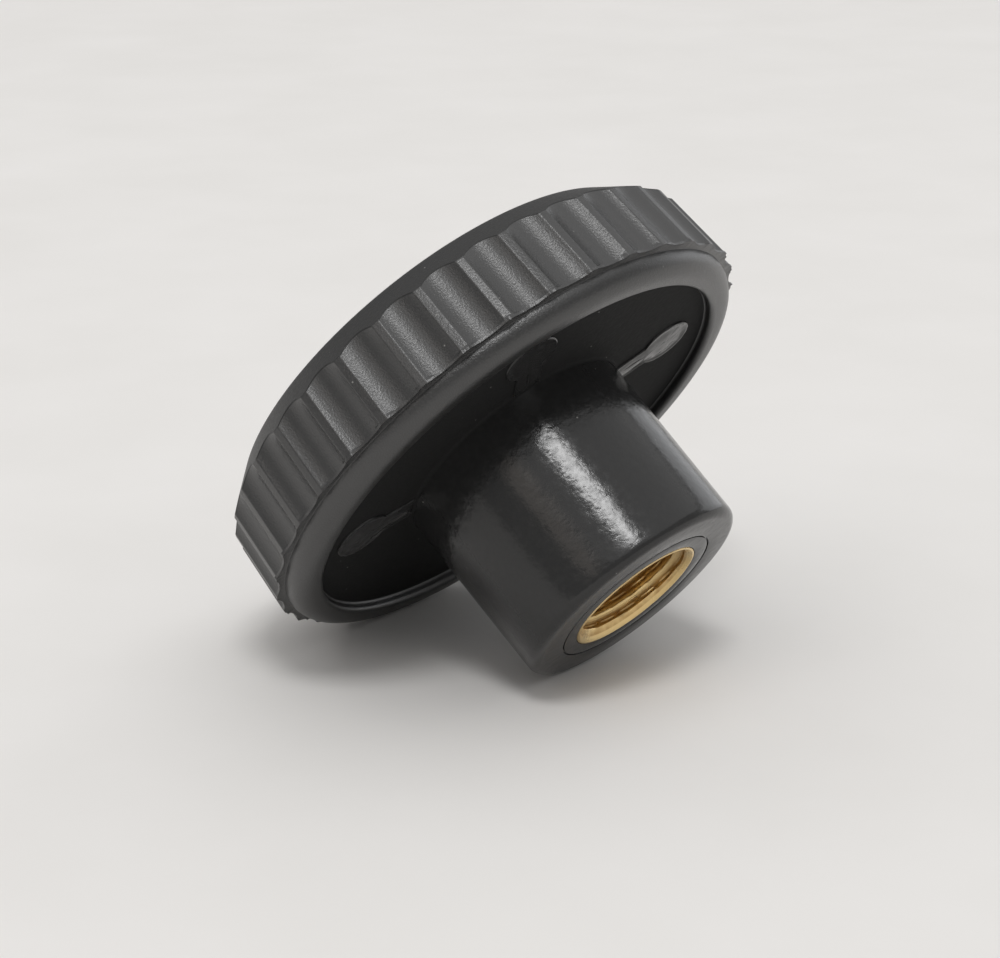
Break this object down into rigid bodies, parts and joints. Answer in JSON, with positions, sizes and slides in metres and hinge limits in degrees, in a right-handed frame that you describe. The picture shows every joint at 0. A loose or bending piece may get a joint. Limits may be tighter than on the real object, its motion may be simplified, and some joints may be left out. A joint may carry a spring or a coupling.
{
  "type": "fluted knob nut",
  "caption": "Round fluted hand knob nut: a black moulded head on a plain hub, with a blind threaded brass insert.",
  "frame": {"origin": "centre of the hub's end face, which clamps the work", "axes": "+Z along the knob's axis, from the hub's end face to the crown; X and Y each pass through two opposite ridges of the rim"},
  "size_m": [0.0412, 0.0412, 0.0234],
  "materials": {
    "moulded_plastic": "black thermoset moulding, satin on the fluted rim and glossy on the hub, lip and recess",
    "brass": "turned and tapped, bare"
  },
  "bodies": {
    "root": {"knob_body": "moulded_plastic", "threaded_insert": "brass"}
  },
  "joints": []
}
